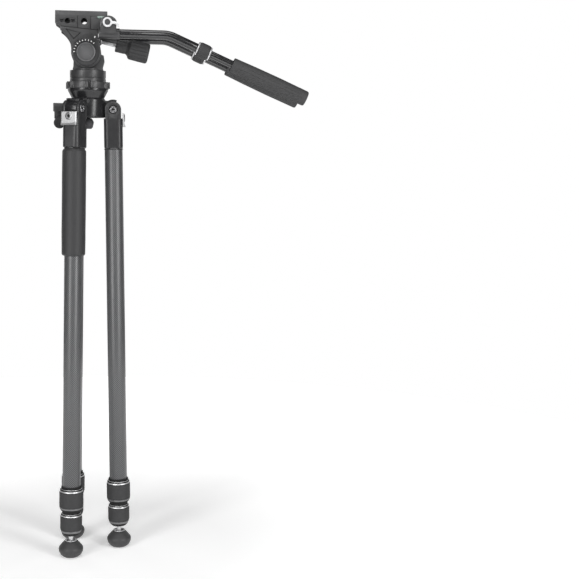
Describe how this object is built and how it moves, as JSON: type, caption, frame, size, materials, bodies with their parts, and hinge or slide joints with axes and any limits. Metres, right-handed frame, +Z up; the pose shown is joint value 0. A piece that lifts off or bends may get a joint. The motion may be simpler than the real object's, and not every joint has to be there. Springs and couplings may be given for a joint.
{
  "type": "tripod with fluid head",
  "caption": "Folding camera tripod with telescoping tube legs, levelling bowl and a fluid pan-tilt head with telescoping pan bars.",
  "frame": {"origin": "on the tripod's axis at floor height, under the crown", "axes": "+Z up, +X towards the pan bars, +Y away from the side with the drag dial"},
  "size_m": [0.4193, 0.1356, 0.9066],
  "materials": {
    "casting": "satin black textured powder coat",
    "lug": "satin black",
    "steel": "bright steel",
    "silver": "brushed silver anodised",
    "carbon": "clear-coated woven carbon fibre",
    "rubber": "ribbed matte rubber",
    "foam": "matte closed-cell foam",
    "head": "fine-textured satin grey-black",
    "dial": "satin black with white index marks",
    "bar": "gloss black anodised",
    "vial": "clear spirit vial, pale green",
    "screw": "turned steel"
  },
  "bodies": {
    "crown": {"spider": "lug", "pivot_bolts": "steel", "accessory_block": "casting"},
    "upper_leg_right": {"leg_casting_right": "casting", "upper_tube_right": "carbon"},
    "middle_leg_right": {"middle_tube_right": "carbon"},
    "lower_leg_right": {"lower_tube_right": "carbon"},
    "foot_right": {"foot_right": "rubber"},
    "tab_right": {"angle_tab_right": "silver"},
    "upper_twist_lock_right": {"upper_lock_right": "rubber"},
    "lower_twist_lock_right": {"lower_lock_right": "rubber"},
    "upper_leg_rear": {"leg_casting_rear": "casting", "upper_tube_rear": "carbon"},
    "middle_leg_rear": {"middle_tube_rear": "carbon"},
    "lower_leg_rear": {"lower_tube_rear": "carbon"},
    "foot_rear": {"foot_rear": "rubber"},
    "tab_rear": {"angle_tab_rear": "silver"},
    "upper_twist_lock_rear": {"upper_lock_rear": "rubber"},
    "lower_twist_lock_rear": {"lower_lock_rear": "rubber"},
    "upper_leg_left": {"leg_casting_left": "casting", "upper_tube_left": "carbon", "foam_sleeve": "foam"},
    "middle_leg_left": {"middle_tube_left": "carbon"},
    "lower_leg_left": {"lower_tube_left": "carbon"},
    "foot_left": {"foot_left": "rubber"},
    "tab_left": {"angle_tab_left": "silver"},
    "upper_twist_lock_left": {"upper_lock_left": "rubber"},
    "lower_twist_lock_left": {"lower_lock_left": "rubber"},
    "level_lock": {"level_lock_ring": "dial"},
    "level_cradle": {"brake_cup": "silver"},
    "level_base": {"level_ball": "head", "head_base_plate": "head"},
    "hook": {"hook_knob": "dial"},
    "arm_knob": {"accessory_knob": "dial"},
    "pan": {"pan_housing": "head", "tilt_saddle": "head"},
    "pan_lock": {"pan_lock_knob": "dial"},
    "tilt": {"tilt_platform": "head", "tilt_cheek_near": "head", "tilt_cheek_far": "head", "tilt_bridge": "steel", "tilt_axle": "steel", "bubble_level": "vial", "dial_cap": "head"},
    "drag": {"drag_dial": "dial"},
    "counterbalance": {"counterbalance_dial": "dial"},
    "tilt_lock": {"tilt_lock_shaft": "steel", "tilt_lock_knob": "rubber"},
    "plate": {"camera_plate": "head"},
    "camera_screw": {"camera_screw": "screw"},
    "release": {"plate_release": "dial"},
    "pan_bar_near": {"bar_holder_near": "casting", "outer_bar_near": "bar"},
    "handle_near": {"inner_bar_near": "bar", "grip_near": "rubber"},
    "bar_lever_near": {"rosette_lever_near": "silver"},
    "collar_near": {"bar_collar_near": "rubber"},
    "pan_bar_far": {"bar_holder_far": "casting", "outer_bar_far": "bar"},
    "handle_far": {"inner_bar_far": "bar", "grip_far": "rubber"},
    "bar_lever_far": {"rosette_lever_far": "silver"},
    "collar_far": {"bar_collar_far": "rubber"}
  },
  "joints": [
    {"name": "leg_spread_right", "type": "hinge", "parent": "crown", "child": "upper_leg_right", "pos_m": [0.0415, 0, 0.75], "axis": [0, -1, 0], "range_deg": [0, 79]},
    {"name": "leg_spread_rear", "type": "hinge", "parent": "crown", "child": "upper_leg_rear", "pos_m": [-0.02075, 0.03594, 0.75], "axis": [0.866, 0.5, 0], "range_deg": [0, 79]},
    {"name": "leg_spread_left", "type": "hinge", "parent": "crown", "child": "upper_leg_left", "pos_m": [-0.02075, -0.03594, 0.75], "axis": [-0.866, 0.5, 0], "range_deg": [0, 79]},
    {"name": "pan", "type": "hinge", "parent": "level_base", "child": "pan", "pos_m": [0, 0, 0.8], "axis": [0, 0, 1], "continuous": true},
    {"name": "tilt", "type": "hinge", "parent": "pan", "child": "tilt", "pos_m": [-0.0025, 0, 0.8404], "axis": [0, 1, 0], "range_deg": [-75, 40]},
    {"name": "middle_extend_right", "type": "slide", "parent": "upper_leg_right", "child": "middle_leg_right", "axis": [0.0175, 0, -0.9998], "range_m": [0, 0.48]},
    {"name": "middle_extend_rear", "type": "slide", "parent": "upper_leg_rear", "child": "middle_leg_rear", "axis": [-0.0087, 0.0151, -0.9998], "range_m": [0, 0.48]},
    {"name": "middle_extend_left", "type": "slide", "parent": "upper_leg_left", "child": "middle_leg_left", "axis": [-0.0087, -0.0151, -0.9998], "range_m": [0, 0.48]},
    {"name": "lower_extend_right", "type": "slide", "parent": "middle_leg_right", "child": "lower_leg_right", "axis": [0.0175, 0, -0.9998], "range_m": [0, 0.46]},
    {"name": "lower_extend_rear", "type": "slide", "parent": "middle_leg_rear", "child": "lower_leg_rear", "axis": [-0.0087, 0.0151, -0.9998], "range_m": [0, 0.46]},
    {"name": "lower_extend_left", "type": "slide", "parent": "middle_leg_left", "child": "lower_leg_left", "axis": [-0.0087, -0.0151, -0.9998], "range_m": [0, 0.46]},
    {"name": "bar_angle_near", "type": "hinge", "parent": "tilt", "child": "pan_bar_near", "pos_m": [0.0321, -0.041, 0.8867], "axis": [0, 1, 0], "range_deg": [-45, 30]},
    {"name": "bar_angle_far", "type": "hinge", "parent": "tilt", "child": "pan_bar_far", "pos_m": [0.0321, 0.041, 0.8867], "axis": [0, 1, 0], "range_deg": [-45, 30]},
    {"name": "bar_extend_near", "type": "slide", "parent": "pan_bar_near", "child": "handle_near", "axis": [0.9184, 0, -0.3955], "range_m": [0, 0.03]},
    {"name": "bar_extend_far", "type": "slide", "parent": "pan_bar_far", "child": "handle_far", "axis": [0.9184, 0, -0.3955], "range_m": [0, 0.03]},
    {"name": "level_side", "type": "hinge", "parent": "crown", "child": "level_cradle", "pos_m": [0, 0, 0.79], "axis": [1, 0, 0], "range_deg": [-6, 6]},
    {"name": "level_fore", "type": "hinge", "parent": "level_cradle", "child": "level_base", "pos_m": [0, 0, 0.79], "axis": [0, 1, 0], "range_deg": [-6, 6]},
    {"name": "plate_slide", "type": "slide", "parent": "tilt", "child": "plate", "axis": [1, 0, 0], "range_m": [-0.015, 0.014]},
    {"name": "foot_swivel_right", "type": "hinge", "parent": "lower_leg_right", "child": "foot_right", "pos_m": [0.05427, 0, 0.01811], "axis": [0, 1, 0], "range_deg": [-20, 20]},
    {"name": "foot_swivel_rear", "type": "hinge", "parent": "lower_leg_rear", "child": "foot_rear", "pos_m": [-0.02714, 0.047, 0.01811], "axis": [-0.866, -0.5, 0], "range_deg": [-20, 20]},
    {"name": "foot_swivel_left", "type": "hinge", "parent": "lower_leg_left", "child": "foot_left", "pos_m": [-0.02714, -0.047, 0.01811], "axis": [0.866, -0.5, 0], "range_deg": [-20, 20]},
    {"name": "tilt_lock_turn", "type": "hinge", "parent": "tilt", "child": "tilt_lock", "pos_m": [0.022, 0, 0.8597], "axis": [0.9763, 0, -0.2164], "range_deg": [0, 120]},
    {"name": "pan_lock_turn", "type": "hinge", "parent": "pan", "child": "pan_lock", "pos_m": [0, 0.0295, 0.8072], "axis": [0, 1, 0], "range_deg": [0, 120]},
    {"name": "drag_turn", "type": "hinge", "parent": "tilt", "child": "drag", "pos_m": [-0.0025, -0.031, 0.8404], "axis": [0, 1, 0], "range_deg": [0, 200]},
    {"name": "counterbalance_turn", "type": "hinge", "parent": "tilt", "child": "counterbalance", "pos_m": [-0.0025, 0.03, 0.8404], "axis": [0, 1, 0], "range_deg": [0, 210]},
    {"name": "rosette_lever_turn_near", "type": "hinge", "parent": "pan_bar_near", "child": "bar_lever_near", "pos_m": [0.0321, -0.041, 0.8867], "axis": [0, 1, 0], "range_deg": [-90, 0]},
    {"name": "collar_twist_near", "type": "hinge", "parent": "pan_bar_near", "child": "collar_near", "pos_m": [0.18661, -0.041, 0.84587], "axis": [0.9184, 0, -0.3955], "range_deg": [0, 120]},
    {"name": "rosette_lever_turn_far", "type": "hinge", "parent": "pan_bar_far", "child": "bar_lever_far", "pos_m": [0.0321, 0.041, 0.8867], "axis": [0, 1, 0], "range_deg": [-90, 0]},
    {"name": "collar_twist_far", "type": "hinge", "parent": "pan_bar_far", "child": "collar_far", "pos_m": [0.18661, 0.041, 0.84587], "axis": [0.9184, 0, -0.3955], "range_deg": [0, 120]},
    {"name": "level_lock_turn", "type": "hinge", "parent": "crown", "child": "level_lock", "pos_m": [0, 0, 0.789], "axis": [0, 0, 1], "range_deg": [0, 60]},
    {"name": "hook_pull", "type": "slide", "parent": "crown", "child": "hook", "axis": [0, 0, -1], "range_m": [0, 0.015], "stiffness_N_per_m": 150, "springref_m": -0.01},
    {"name": "arm_knob_turn", "type": "hinge", "parent": "crown", "child": "arm_knob", "pos_m": [-0.0465, -0.0076, 0.727], "axis": [0, 1, 0], "range_deg": [0, 180]},
    {"name": "camera_screw_lift", "type": "slide", "parent": "plate", "child": "camera_screw", "axis": [0, 0, 1], "range_m": [0, 0.004]},
    {"name": "plate_release_press", "type": "slide", "parent": "tilt", "child": "release", "axis": [0, -1, 0], "range_m": [0, 0.0014], "stiffness_N_per_m": 600, "springref_m": -0.002},
    {"name": "angle_tab_pull_right", "type": "slide", "parent": "upper_leg_right", "child": "tab_right", "axis": [0.0175, 0, -0.9998], "range_m": [0, 0.005], "stiffness_N_per_m": 400, "springref_m": -0.004},
    {"name": "angle_tab_pull_rear", "type": "slide", "parent": "upper_leg_rear", "child": "tab_rear", "axis": [-0.0087, 0.0151, -0.9998], "range_m": [0, 0.005], "stiffness_N_per_m": 400, "springref_m": -0.004},
    {"name": "angle_tab_pull_left", "type": "slide", "parent": "upper_leg_left", "child": "tab_left", "axis": [-0.0087, -0.0151, -0.9998], "range_m": [0, 0.005], "stiffness_N_per_m": 400, "springref_m": -0.004},
    {"name": "upper_lock_twist_right", "type": "hinge", "parent": "upper_leg_right", "child": "upper_twist_lock_right", "pos_m": [0.05276, 0, 0.1051], "axis": [-0.0175, 0, 0.9998], "range_deg": [0, 120]},
    {"name": "lower_lock_twist_right", "type": "hinge", "parent": "middle_leg_right", "child": "lower_twist_lock_right", "pos_m": [0.05346, 0, 0.0651], "axis": [-0.0175, 0, 0.9998], "range_deg": [0, 120]},
    {"name": "upper_lock_twist_rear", "type": "hinge", "parent": "upper_leg_rear", "child": "upper_twist_lock_rear", "pos_m": [-0.02638, 0.04569, 0.1051], "axis": [0.0087, -0.0151, 0.9998], "range_deg": [0, 120]},
    {"name": "lower_lock_twist_rear", "type": "hinge", "parent": "middle_leg_rear", "child": "lower_twist_lock_rear", "pos_m": [-0.02673, 0.04629, 0.0651], "axis": [0.0087, -0.0151, 0.9998], "range_deg": [0, 120]},
    {"name": "upper_lock_twist_left", "type": "hinge", "parent": "upper_leg_left", "child": "upper_twist_lock_left", "pos_m": [-0.02638, -0.04569, 0.1051], "axis": [0.0087, 0.0151, 0.9998], "range_deg": [0, 120]},
    {"name": "lower_lock_twist_left", "type": "hinge", "parent": "middle_leg_left", "child": "lower_twist_lock_left", "pos_m": [-0.02673, -0.04629, 0.0651], "axis": [0.0087, 0.0151, 0.9998], "range_deg": [0, 120]}
  ]
}
